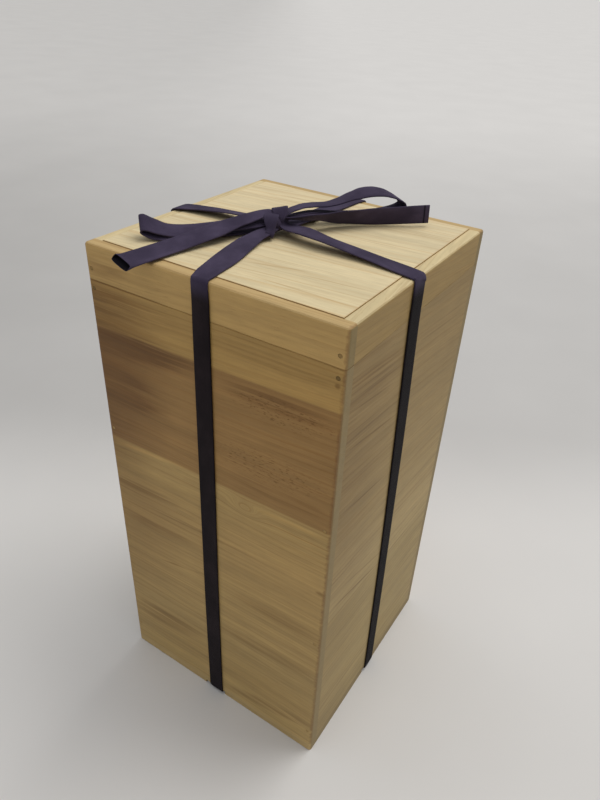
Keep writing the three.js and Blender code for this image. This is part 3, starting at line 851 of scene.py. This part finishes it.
@dataclass
class TieCord:
    """The one flat cotton cord: twice round the box, knotted on the lid with two loops and two tails."""

    left_tail: list[Row] = field(default_factory=lambda: [
        (-14.5, -7, 422.3, -0.9, 0.2, 0.3, 0.35),
        (-25.5, -26, 419.6, -0.9, 0.25, 0.3, 0.7),
        (-34, -46, 415.7, -0.92, 0.25, 0.25, 1),
        (-41.5, -73, 412.7, -0.92, 0.25, 0.25, 1),
        (-45.5, -96, 412, -0.93, 0.2, 0.25, 1),
        (-48.8, -118, 411.6, -0.9, 0.34, 0.25, 1.06),
    ])
    left_loop: list[Row] = field(default_factory=lambda: [
        (-14, -9, 418, -0.6, 0.7, 0.3, 0.5),
        (-35, -36, 415.9, -0.62, 0.73, 0.26, 0.85),
        (-52, -52.5, 413.3, -0.64, 0.72, 0.25, 1),
        (-62, -61.5, 413.9, -0.64, 0.7, 0.25, 1),
        (-68, -67.5, 416.9, -0.63, 0.64, 0.4, 0.97),
        (-72.2, -72.5, 419.6, -0.63, 0.58, 0.47, 1),
        (-73.9, -73.6, 418.9, -0.63, 0.58, 0.47, 1),
        (-73.8, -72.4, 417.3, -0.63, 0.58, 0.47, 1),
        (-67.5, -68.2, 413.4, -0.6, 0.6, 0.47, 1),
        (-55, -57, 411.2, -0.64, 0.68, 0.25, 0.9),
        (-33, -31, 410.8, -0.65, 0.75, 0.1, 0.7),
        (-15, -12, 412.4, -0.65, 0.75, 0.1, 0.5),
    ])
    front: list[Row] = field(default_factory=lambda: [
        (-9.7, -14, 414.2, 1, 0, 0, 0.6),
        (-12.5, -28, 412.2, 1, 0, -0.05, 0.85),
        (-11.6, -42, 411.2, 1, 0, -0.12, 1),
        (-5.6, -68, 411.2, 1, 0, -0.26, 1),
        (-2.6, -91, 409.9, 1, 0, -0.1, 0.96),
        (-1.9, -98, 408.85, 1, 0, 0, 0.91),
        (-1.6, -99.42, 408.47, 1, 0, 0, 0.9),
        (-1.4, -100.47, 407.42, 1, 0, 0, 0.9),
        (-1.3, -100.85, 406, 1, 0, 0, 0.9),
        (-1, -100.85, 393, 1, 0, 0, 0.94),
        (-1.2, -100.85, 382.2, 1, 0, 0, 0.95),
        (-2, -100.85, 250, 1, 0, 0, 1),
        (-2.7, -100.85, 118, 1, 0, 0, 1),
        (-2.1, -100.85, 8.6, 1, 0, 0, 1),
        (-2, -100.85, 4.3, 1, 0, 0, 1),
        (-2, -100.55, 3.5, 1, 0, 0, 1),
        (-2, -99.8, 3.2, 1, 0, 0, 1),
    ])
    back: list[Row] = field(default_factory=lambda: [
        (-3, 99.8, 3.2, 1, 0, 0, 1),
        (-3, 100.55, 3.5, 1, 0, 0, 1),
        (-3, 100.85, 4.3, 1, 0, 0, 1),
        (-3, 100.85, 8.6, 1, 0, 0, 1),
        (-4.6, 100.85, 195, 1, 0, 0, 1),
        (-6.1, 100.85, 382.2, 1, 0, 0, 1),
        (-6.3, 100.85, 406, 1, 0, 0, 1),
        (-6.4, 100.47, 407.42, 1, 0, 0, 1),
        (-6.5, 99.42, 408.47, 1, 0, 0, 1),
        (-6.6, 98, 408.85, 1, 0, 0, 1),
        (-6.9, 92, 409.4, 1, 0, 0, 1),
        (-8.4, 65, 409.9, 1, 0, 0, 1),
        (-9.6, 32, 410.6, 1, 0, 0, 1),
        (-9, 14, 411.9, 1, 0, 0, 0.85),
        (-8, -4, 414, 1, 0, 0, 0.7),
    ])
    left: list[Row] = field(default_factory=lambda: [
        (-12, -8, 415.2, 0, -1, 0.3, 0.7),
        (-28, -5, 414.8, 0, -0.97, 0.2, 0.85),
        (-48, -3, 413.4, 0, -0.97, 0.2, 0.95),
        (-76, -4.6, 411.4, 0, -0.99, 0.1, 1),
        (-92, -7.4, 410.2, 0, -1, 0.02, 1),
        (-98, -8.2, 409.3, 0, -1, 0, 1),
        (-99.6, -8.4, 408.7, 0, -1, 0, 1),
        (-100.6, -8.5, 407.6, 0, -1, 0, 1),
        (-100.85, -8.6, 406, 0, -1, 0, 1),
        (-100.85, -8.6, 382.2, 0, -1, 0, 1),
        (-100.85, -3.2, 195, 0, -1, 0, 1),
        (-100.85, 1.4, 8.6, 0, -1, 0, 1),
        (-100.85, 1.5, 4.3, 0, -1, 0, 1),
        (-100.55, 1.5, 3.5, 0, -1, 0, 1),
        (-99.8, 1.5, 3.2, 0, -1, 0, 1),
        (-50, 1.9, 3.2, 0, -1, 0, 1),
        (-22, 2.1, 1.85, 0, -1, 0, 1),
    ])
    right: list[Row] = field(default_factory=lambda: [
        (18, 2.4, 1.85, 0, -1, 0, 1),
        (50, 2.6, 3.2, 0, -1, 0, 1),
        (99.8, 3, 3.2, 0, -1, 0, 1),
        (100.55, 3, 3.5, 0, -1, 0, 1),
        (100.85, 3, 4.3, 0, -1, 0, 1),
        (100.85, 2.9, 8.6, 0, -1, 0, 1),
        (100.85, 0.6, 95, 0, -1, 0, 1),
        (100.85, -2.7, 180, 0, -1, 0, 1),
        (100.85, -8, 285, 0, -1, 0, 1.1),
        (100.85, -14.2, 382.2, 0, -1, 0, 1.1),
        (100.85, -14.4, 406, 0, -1, 0, 1.06),
        (100.47, -13.9, 407.42, 0, -1, 0, 1),
        (99.42, -13.9, 408.47, 0, -1, 0, 1),
        (98, -13.8, 408.85, 0, -1, 0, 1),
        (92, -13.5, 409.4, 0, -1, 0, 1),
        (62.1, -10.3, 411.1, 0, -1, 0.08, 1),
        (33.8, -10.5, 414.1, 0, -1, 0.12, 1),
        (13.8, -9.4, 415.8, 0, -1, 0, 1),
        (-4, -6.5, 416, 0, -1, 0, 0.9),
    ])
    right_loop: list[Row] = field(default_factory=lambda: [
        (-7, -2, 421.5, 0.7, -0.6, 0, 0.5),
        (-6, 12, 423.2, 0.75, -0.65, 0, 0.55),
        (-2.5, 22, 423, 0.66, -0.75, 0.02, 0.7),
        (4.6, 32.5, 422.6, 0.66, -0.75, 0.04, 0.85),
        (10.2, 39.3, 424.4, 0.68, -0.73, 0, 0.95),
        (16.3, 45.6, 427.6, 0.7, -0.7, -0.08, 1),
        (22.3, 50.5, 430, 0.75, -0.62, -0.19, 1),
        (28, 57, 430.7, 0.78, -0.6, -0.2, 1),
        (33.5, 64.5, 429.3, 0.8, -0.58, -0.15, 1),
        (38.2, 71.8, 425.8, 0.82, -0.56, -0.1, 0.95),
        (41.2, 77.3, 421.7, 0.82, -0.55, 0, 0.9),
        (41.6, 78, 419.6, 0.82, -0.55, 0, 0.9),
        (40, 76.2, 417.8, 0.82, -0.55, 0, 0.95),
        (30, 63, 415, 0.8, -0.58, 0, 1),
        (12, 42, 415.2, 0.8, -0.6, 0, 0.8),
        (-2, 22, 418.2, 0.6, -0.75, 0.1, 0.62),
        (-9, -2, 418.4, 0.7, -0.6, 0.1, 0.5),
    ])
    right_tail: list[Row] = field(default_factory=lambda: [
        (-3.5, -5, 420, 0.6, -0.5, 0.4, 0.4),
        (8, 13, 418.8, 0.55, -0.45, 0.6, 0.7),
        (20, 31, 416.9, 0.45, -0.35, 0.8, 1),
        (40, 54, 416.2, 0.2, -0.15, 0.96, 0.97),
        (64.6, 75.8, 417.6, 0, 0, 1, 0.92),
    ])
    fixed_height: float = 9.2 * MM
    lid_height: float = 382.2 * MM

    def build(self, finish: bpy.types.Material) -> tuple[bpy.types.Object, list[Vector]]:
        """Makes the whole cord as one mesh.

        Args:
            finish: The cord's material.

        Returns:
            The cord and the points that it follows, from the left tail's end to the right tail's.
        """
        route = joined(
            self.left_tail[::-1], self.left_loop, self.front, self.back, self.left, self.right,
            self.right_loop, self.right_tail,
        )
        piece, path = FlatCord(route, hem_length=3.6 * MM).mesh("tie_cord")
        piece.data.materials.append(finish)
        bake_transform(piece, BODY, LID, start=(0, 0, self.fixed_height), end=(0, 0, self.lid_height))
        nodes = [f"cord_{side}_{part}" for side in SIDES for part in ("side", "top")]
        nodes += [f"cord_{side}_{part}" for side in ("left", "right") for part in ("loop", "tail")]
        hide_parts(*nodes, "cord_under_front_back", "cord_under_left_right")
        return piece, path


@dataclass
class BowKnot:
    """The knot: a pulled-down heart of cord, one turn over the bow and one round the front strand."""

    over_turn: list[Row] = field(default_factory=lambda: [
        (-16.5, 2.4, 416, 0.84, 0.55, 0, 0.5),
        (-15.3, 0, 422.4, 0.84, 0.54, 0.15, 0.66),
        (-11, -4.3, 425, 0.85, 0.5, 0.22, 0.78),
        (-8.4, -7.4, 422.8, 0.9, 0.42, 0.15, 0.7),
        (-8, -10.8, 418.8, 0.9, 0.4, 0.2, 0.5),
        (-9, -10.6, 415.4, 0.9, 0.4, 0, 0.35),
    ])
    front_turn: list[Row] = field(default_factory=lambda: [
        (-16.8, -3.2, 419, 0.9, 0.4, 0, 0.5),
        (-15.3, -6.6, 420.9, 0.93, 0.35, 0, 0.6),
        (-12.3, -12.4, 421.7, 0.97, 0.2, 0, 0.72),
        (-9.9, -16, 419.8, 1, 0, 0, 0.7),
        (-7.4, -19.8, 415.4, 1, -0.1, -0.1, 0.44),
        (-6.4, -22.4, 412.6, 0.95, 0, -0.2, 0.42),
        (-8.6, -20.3, 411.4, 1, 0, 0, 0.36),
    ])
    centre: Vector = field(default_factory=lambda: Vector((-10.8, -8.5, 416.2)) * MM)
    radii: Vector = field(default_factory=lambda: Vector((6.5, 7.5, 5.4)) * MM)

    def build(self, finish: bpy.types.Material) -> list[bpy.types.Object]:
        """Makes the knot's pieces.

        Args:
            finish: The cord's material.

        Returns:
            The heart and the two turns.
        """
        bm = bmesh.new()
        bmesh.ops.create_icosphere(bm, subdivisions=4, radius=1.0, calc_uvs=True)
        bmesh.ops.scale(bm, vec=self.radii, verts=bm.verts)
        bmesh.ops.translate(bm, vec=self.centre, verts=bm.verts)
        for face in bm.faces:
            face.smooth = True
        data = bpy.data.meshes.new("knot_heart")
        bm.to_mesh(data)
        bm.free()
        heart = bpy.data.objects.new("knot_heart", data)
        bpy.context.scene.collection.objects.link(heart)
        pieces = [heart]
        for name, rows in (("knot_over_turn", self.over_turn), ("knot_front_turn", self.front_turn)):
            turn, _ = FlatCord(joined(rows), thickness=1.8 * MM, step=1 * MM).mesh(name)
            pieces.append(turn)
        for piece in pieces:
            piece.data.materials.append(finish)
            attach(piece, LID)
        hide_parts("cord_knot")
        return pieces


@dataclass
class BoxBoards:
    """The boards of the box: their shapes are the CAD model's, and this dresses them."""

    front: WoodFinish = WoodFinish(
        name="paulownia_front", along=Along.X, plank_low=0.0, plank_high=0.4,
        planks=(
            (0.0, linear(192, 163, 107)), (0.12, linear(181, 151, 96)), (0.2, linear(182, 153, 99)),
            (0.36, linear(178, 148, 94)), (0.5, linear(181, 149, 94)), (0.6365, linear(188, 157, 99)),
            (0.6385, linear(160, 124, 73)), (0.8, linear(159, 123, 72)), (0.8755, linear(152, 116, 67)),
            (0.8775, linear(178, 143, 83)), (1.0, linear(181, 146, 85)),
        ),
        stains_and_shades=(
            StainAndShade(-0.05, 0.3425, 0.06, 0.012, 1.0),
            StainAndShade(0.056, 0.3425, 0.055, 0.008, 0.75),
            StainAndShade(0.06, 0.337, 0.05, 0.012, 1.0, mark=Mark.SPECKED),
            StainAndShade(-0.075, 0.3, 0.045, 0.018, 0.7),
            StainAndShade(0.05, 0.29, 0.055, 0.016, 0.8, mark=Mark.SPECKED),
            StainAndShade(0.06, 0.272, 0.05, 0.008, 0.6),
            StainAndShade(-0.07, 0.369, 0.06, 0.012, 0.55),
            # Painted shade: the board darker towards its left end.
            StainAndShade(-0.11, 0.345, 0.09, 0.07, 0.3),
            # Painted shade: a thin dark line along the seam between body and lid.
            StainAndShade(0.0, 0.3822, 0.4, 0.0007, 0.9, slope=0.0),
            StainAndShade(0.0955, 0.3712, 0.0024, 0.0022, 0.75, mark=Mark.LINE),
            # Painted shade over the board's left half, and painted light over its right half.
            StainAndShade(-0.12, 0.31, 0.1, 0.11, 0.8, mark=Mark.LINE),
            StainAndShade(-0.12, 0.17, 0.1, 0.12, 0.4, mark=Mark.LINE),
            StainAndShade(0.08, 0.3, 0.09, 0.12, -0.16, mark=Mark.LINE),
            StainAndShade(-0.053, 0.252, 0.05, 0.003, -0.7, slope=0.12),
            StainAndShade(0.07, 0.251, 0.035, 0.004, -0.6),
            StainAndShade(0.07, 0.243, 0.035, 0.002, -0.5),
            StainAndShade(0.01, 0.1985, 0.12, 0.0016, 0.55, slope=0.085),
            StainAndShade(0.0965, 0.2, 0.005, 0.0022, 0.7),
            StainAndShade(-0.033, 0.144, 0.028, 0.0014, 1.0, slope=0.25),
            StainAndShade(-0.07, 0.21, 0.05, 0.006, 0.5, slope=0.1),
            StainAndShade(-0.055, 0.175, 0.05, 0.008, 0.45, slope=0.1),
            StainAndShade(-0.06, 0.06, 0.05, 0.014, 0.7, slope=0.13),
            StainAndShade(0.06, 0.15, 0.05, 0.01, 0.4, slope=0.05),
            StainAndShade(0.05, 0.1, 0.06, 0.008, 0.4, slope=0.1),
            StainAndShade(0.057, 0.027, 0.055, 0.008, 0.7, slope=0.22),
        ),
        knot_place=(0.031, 0.244), corner_colour=linear(112, 74, 46), seed=1.3,
    )
    side: WoodFinish = WoodFinish(
        name="paulownia_side", along=Along.Y, plank_low=0.0, plank_high=0.4, plank_slope=-0.13,
        planks=(
            (0.0, linear(172, 150, 103)), (0.372, linear(172, 149, 101)), (0.376, linear(179, 156, 108)),
            (0.46, linear(179, 155, 108)), (0.6, linear(170, 145, 98)), (1.0, linear(160, 134, 88)),
        ),
        stains_and_shades=(
            StainAndShade(-0.045, 0.162, 0.05, 0.0013, 0.75, slope=-0.26, mark=Mark.LINE),
            StainAndShade(0.02, 0.149, 0.04, 0.0011, 0.55, slope=-0.1, mark=Mark.LINE),
            StainAndShade(-0.03, 0.1715, 0.05, 0.0011, 0.5, slope=-0.3, mark=Mark.LINE),
            StainAndShade(-0.06, 0.345, 0.035, 0.0011, 0.5, slope=-0.14, mark=Mark.LINE),
            StainAndShade(-0.05, 0.314, 0.045, 0.0012, 0.45, slope=-0.16, mark=Mark.LINE),
            StainAndShade(-0.055, 0.262, 0.04, 0.001, 0.45, slope=-0.16, mark=Mark.LINE),
            StainAndShade(0.04, 0.352, 0.05, 0.001, 0.4, slope=-0.1, mark=Mark.LINE),
            StainAndShade(0.075, 0.309, 0.02, 0.0012, 0.7, slope=-0.12),
            StainAndShade(-0.05, 0.36, 0.05, 0.01, 0.4, slope=-0.1),
            # Broad darkening towards the front end of each side wall.
            StainAndShade(-0.11, 0.33, 0.11, 0.13, 0.3, slope=0.0),
            StainAndShade(-0.11, 0.2, 0.1, 0.3, 0.28, slope=0.0, mark=Mark.LINE),
        ),
        seed=4.1, ring_slope=-0.1, ring_strength=0.55, line_strength=0.3, fibre_strength=0.22,
        end_colour=linear(156, 137, 98),
    )
    lid_front: WoodFinish = WoodFinish(
        name="paulownia_lid_front", along=Along.X, plank_low=0.38, plank_high=0.41,
        planks=((0.0, linear(192, 157, 97)), (1.0, linear(195, 160, 100))),
        # Painted shade: the rail a little darker at its left end, and a thin dark line along the seam between lid and
        # body.
        stains_and_shades=(StainAndShade(-0.085, 0.394, 0.03, 0.01, 0.5), StainAndShade(0.0, 0.3828, 0.4, 0.0007, 0.8, slope=0.0)),
        corner_colour=linear(118, 80, 48), gap_line=(0.0914, 0.0921), seed=6.7, ring_strength=0.25,
        fibre_strength=0.2, painted_top_light=linear(192, 163, 112), end_colour=linear(142, 122, 80),
    )
    lid_side: WoodFinish = WoodFinish(
        name="paulownia_lid_side", along=Along.Y, plank_low=0.38, plank_high=0.41, plank_slope=0.0,
        planks=((0.0, linear(166, 138, 86)), (1.0, linear(168, 140, 89))),
        gap_line=(0.0914, 0.0921), seed=9.2, ring_slope=-0.1, ring_strength=0.4, fibre_strength=0.2,
        painted_top_light=linear(218, 198, 152),
    )
    panel: WoodFinish = WoodFinish(
        name="paulownia_panel", along=Along.X, plank_low=-0.1, plank_high=0.1, on_top=True,
        planks=((0.0, linear(222, 204, 162)), (1.0, linear(224, 206, 166))),
        stains_and_shades=(
            StainAndShade(0.055, -0.0768, 0.045, 0.0012, 0.5, slope=0.0, mark=Mark.LINE),
            StainAndShade(0.022, -0.0565, 0.03, 0.0014, 0.4, slope=0.3, mark=Mark.LINE),
            StainAndShade(0.035, -0.0255, 0.05, 0.0014, 0.45, slope=0.0),
            StainAndShade(0.065, -0.0545, 0.035, 0.0012, 0.5, slope=0.12),
            StainAndShade(0.025, -0.0725, 0.03, 0.0012, 0.4, slope=0.16),
            StainAndShade(0.05, 0.02, 0.05, 0.0014, 0.5, slope=0.05),
            StainAndShade(-0.02, 0.06, 0.06, 0.0016, 0.5, slope=0.08),
            StainAndShade(-0.06, -0.04, 0.05, 0.0016, 0.45, slope=0.08),
        ),
        stain_and_shade_colour=(0.72, 0.58, 0.44),
        seed=2.9, ring_spacing=8 * MM, ring_strength=0.7, ring_slope=0.1, line_strength=0.4,
        fibre_strength=0.2, edge_colour=linear(190, 156, 104), gap_line=(0.0906, 0.0914),
        ring_tint=(0.8, 0.64, 0.46),
    )
    bottom: WoodFinish = WoodFinish(
        name="paulownia_bottom", along=Along.X, plank_low=-0.1, plank_high=0.1, on_top=True,
        planks=((0.0, linear(198, 170, 116)), (1.0, linear(198, 170, 116))), seed=5.5,
    )
    lip: WoodFinish = WoodFinish(
        name="paulownia_lip", along=Along.X, plank_low=0.35, plank_high=0.4,
        planks=((0.0, linear(214, 194, 150)), (1.0, linear(214, 194, 150))), seed=8.4,
    )

    dark_pegs: tuple[str, ...] = ("front_right_peg_4", "front_left_peg_4", "back_left_peg_2")

    def dress(self) -> None:
        """Gives each board its wood, and each peg its end grain."""
        lip_side = WoodFinish(**{**self.lip.__dict__, "name": "paulownia_lip_side", "along": Along.Y})
        woods = {
            ("front_wall", "back_wall"): self.front,
            ("left_wall", "right_wall"): self.side,
            ("lid_front_rail", "lid_back_rail"): self.lid_front,
            ("lid_left_rail", "lid_right_rail"): self.lid_side,
            ("lid_top_panel",): self.panel,
            ("bottom_board",): self.bottom,
            ("front_lip", "back_lip"): self.lip,
            ("left_lip", "right_lip"): lip_side,
        }
        for nodes, wood in woods.items():
            material = wood.build()
            for name in nodes:
                give(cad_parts[name], material)
            LOG.info("%s on %s", wood.name, ", ".join(nodes))
        peg = PegFinish().build()
        lid_peg = PegFinish(name="lid_peg_end_grain", colour=linear(150, 120, 66)).build()
        dark_peg = PegFinish(name="dark_peg_end_grain", colour=linear(120, 94, 44)).build()
        pegs = [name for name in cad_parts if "_peg" in name]
        for name in pegs:
            body_peg = dark_peg if name in self.dark_pegs else peg
            give(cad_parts[name], lid_peg if name.startswith("lid_") else body_peg)
        LOG.info("%d pegs dressed", len(pegs))


def give(obj: bpy.types.Object, material: bpy.types.Material) -> None:
    """Gives a CAD node one material, in its own material slots."""
    obj.data.materials.clear()
    obj.data.materials.append(material)


@dataclass
class Studio:
    """The pale floor, the soft light and the camera."""

    camera_place: Vector = field(default_factory=lambda: Vector((0.2390, -0.37233, 0.56543)))
    camera_right: Vector = field(default_factory=lambda: Vector((0.83593, 0.54716, 0.04284)))
    camera_ahead: Vector = field(default_factory=lambda: Vector((-0.43585, 0.70925, -0.55408)))
    lens: float = 29.618
    floor_radius: float = 40.0
    floor_colour: Colour = linear(222, 219, 215)
    # Painted shade and light on the floor: darker to the left, a darker band beyond the box, lighter in front of the
    # box's left end and a little darker in front of its right end.
    floor_shade: float = 0.83
    far_shade: float = 0.21
    near_left_light: float = 0.14
    near_right_shade: float = 0.05
    backdrop_colour: Colour = linear(214, 211, 210)
    sky_colour: Colour = (0.95, 0.97, 1.0)
    sky_strength: float = 0.14
    sky_zenith: float = 6.6
    sun_way: Vector = field(default_factory=lambda: Vector((-0.3, -0.55, -1.0)))
    sun_width: float = math.radians(42)
    sun_strength: float = 1.31

    def make_camera(self) -> None:
        """Makes the camera that stands where the photograph's did."""
        data = bpy.data.cameras.new("camera")
        data.lens = self.lens
        data.clip_start = 0.01
        camera = bpy.data.objects.new("camera", data)
        ahead = self.camera_ahead.normalized()
        right = (self.camera_right - ahead * self.camera_right.dot(ahead)).normalized()
        up = right.cross(ahead)
        turn = Matrix((right, up, -ahead)).transposed()
        camera.matrix_world = Matrix.Translation(self.camera_place) @ turn.to_4x4()
        bpy.context.scene.collection.objects.link(camera)
        bpy.context.scene.camera = camera

    def make_floor(self) -> None:
        """Makes the floor: a wide pale disc, with painted shade and painted light in its colour."""
        bm = bmesh.new()
        bmesh.ops.create_circle(bm, cap_ends=True, segments=96, radius=self.floor_radius)
        data = bpy.data.meshes.new("floor")
        bm.to_mesh(data)
        bm.free()
        floor = bpy.data.objects.new("floor", data)
        bpy.context.scene.collection.objects.link(floor)
        s = Surface("pale_cloth_floor", 0.9)
        x, y, _ = s.parts(s.places.outputs["Object"])
        cloud = s.noise(s.places.outputs["Object"], 5.0, 3.0, 0.5)
        # Painted shade and light: darker to the left and in a wide band beyond the box, lighter in front of the box's
        # left end, a little darker in front of its right end.
        rightward = s.total((x, self.camera_right.x), (y, self.camera_right.y))
        slope = s.math("MULTIPLY", s.steps(rightward, -0.9, 0.5), 1 - self.floor_shade)
        away = s.total((x, self.camera_ahead.x), (y, self.camera_ahead.y))
        far = s.math("MULTIPLY", s.steps(away, 0.1, 0.3), s.steps(away, 2.4, 0.5))
        near = s.steps(away, 0.03, -0.13)
        near_left = s.math("MULTIPLY", near, s.steps(rightward, 0.0, -0.12))
        near_right = s.math("MULTIPLY", near, s.steps(rightward, 0.0, 0.08))
        shades = s.total((far, -self.far_shade), (near_left, self.near_left_light), (near_right, -self.near_right_shade))
        value = s.total((cloud, 0.08), (slope, 1.0), (shades, 1.0))
        value = s.math("ADD", value, self.floor_shade - 0.04)
        s.feed(s.shader.inputs["Base Color"], s.mix(1.0, self.floor_colour, s.vector(value, value, value), "MULTIPLY"))
        s.shader.inputs["Specular IOR Level"].default_value = 0.1
        floor.data.materials.append(s.material)

    def make_lights(self) -> None:
        """Makes the world's soft light, and a wide high sun a little to the right."""
        world = bpy.data.worlds.new("studio_world")
        bpy.context.scene.world = world
        world.use_nodes = True
        tree = world.node_tree
        background = tree.nodes["Background"]
        background.inputs["Color"].default_value = (*self.sky_colour, 1.0)
        way = tree.nodes.new("ShaderNodeTexCoord")
        parts = tree.nodes.new("ShaderNodeSeparateXYZ")
        square = tree.nodes.new("ShaderNodeMath")
        square.operation = "MULTIPLY"
        height = tree.nodes.new("ShaderNodeMath")
        height.operation = "MULTIPLY_ADD"
        height.inputs[1].default_value = self.sky_strength * self.sky_zenith
        height.inputs[2].default_value = self.sky_strength
        tree.links.new(way.outputs["Generated"], parts.inputs[0])
        tree.links.new(parts.outputs[2], square.inputs[0])
        tree.links.new(parts.outputs[2], square.inputs[1])
        tree.links.new(square.outputs[0], height.inputs[0])
        tree.links.new(height.outputs[0], background.inputs["Strength"])
        plain = tree.nodes.new("ShaderNodeBackground")
        plain.inputs["Color"].default_value = (*self.backdrop_colour, 1.0)
        plain.inputs["Strength"].default_value = 1.0
        seen = tree.nodes.new("ShaderNodeLightPath")
        mixed = tree.nodes.new("ShaderNodeMixShader")
        tree.links.new(seen.outputs["Is Camera Ray"], mixed.inputs[0])
        tree.links.new(background.outputs[0], mixed.inputs[1])
        tree.links.new(plain.outputs[0], mixed.inputs[2])
        tree.links.new(mixed.outputs[0], tree.nodes["World Output"].inputs["Surface"])
        sun = bpy.data.lights.new("high_sun", "SUN")
        sun.angle = self.sun_width
        sun.energy = self.sun_strength
        sun.color = (1.0, 0.985, 0.96)
        lamp = bpy.data.objects.new("high_sun", sun)
        lamp.location = Vector((0, 0, 2))
        lamp.rotation_euler = self.sun_way.to_track_quat("-Z", "Y").to_euler()
        bpy.context.scene.collection.objects.link(lamp)


def main() -> None:
    """Builds the scene: the studio first, then the cord, the knot and the boards' finishes."""
    logging.basicConfig(level=logging.INFO, format="%(name)s: %(message)s")
    bpy.context.scene.view_settings.view_transform = "Standard"
    studio = Studio()
    studio.make_camera()
    studio.make_floor()
    studio.make_lights()
    LOG.info("studio made")
    cotton = CottonFinish().build()
    cord, path = TieCord().build(cotton)
    knot = BowKnot().build(cotton)
    LOG.info("knot of %d pieces", len(knot))
    BoxBoards().dress()


if __name__ == "__main__":
    main()
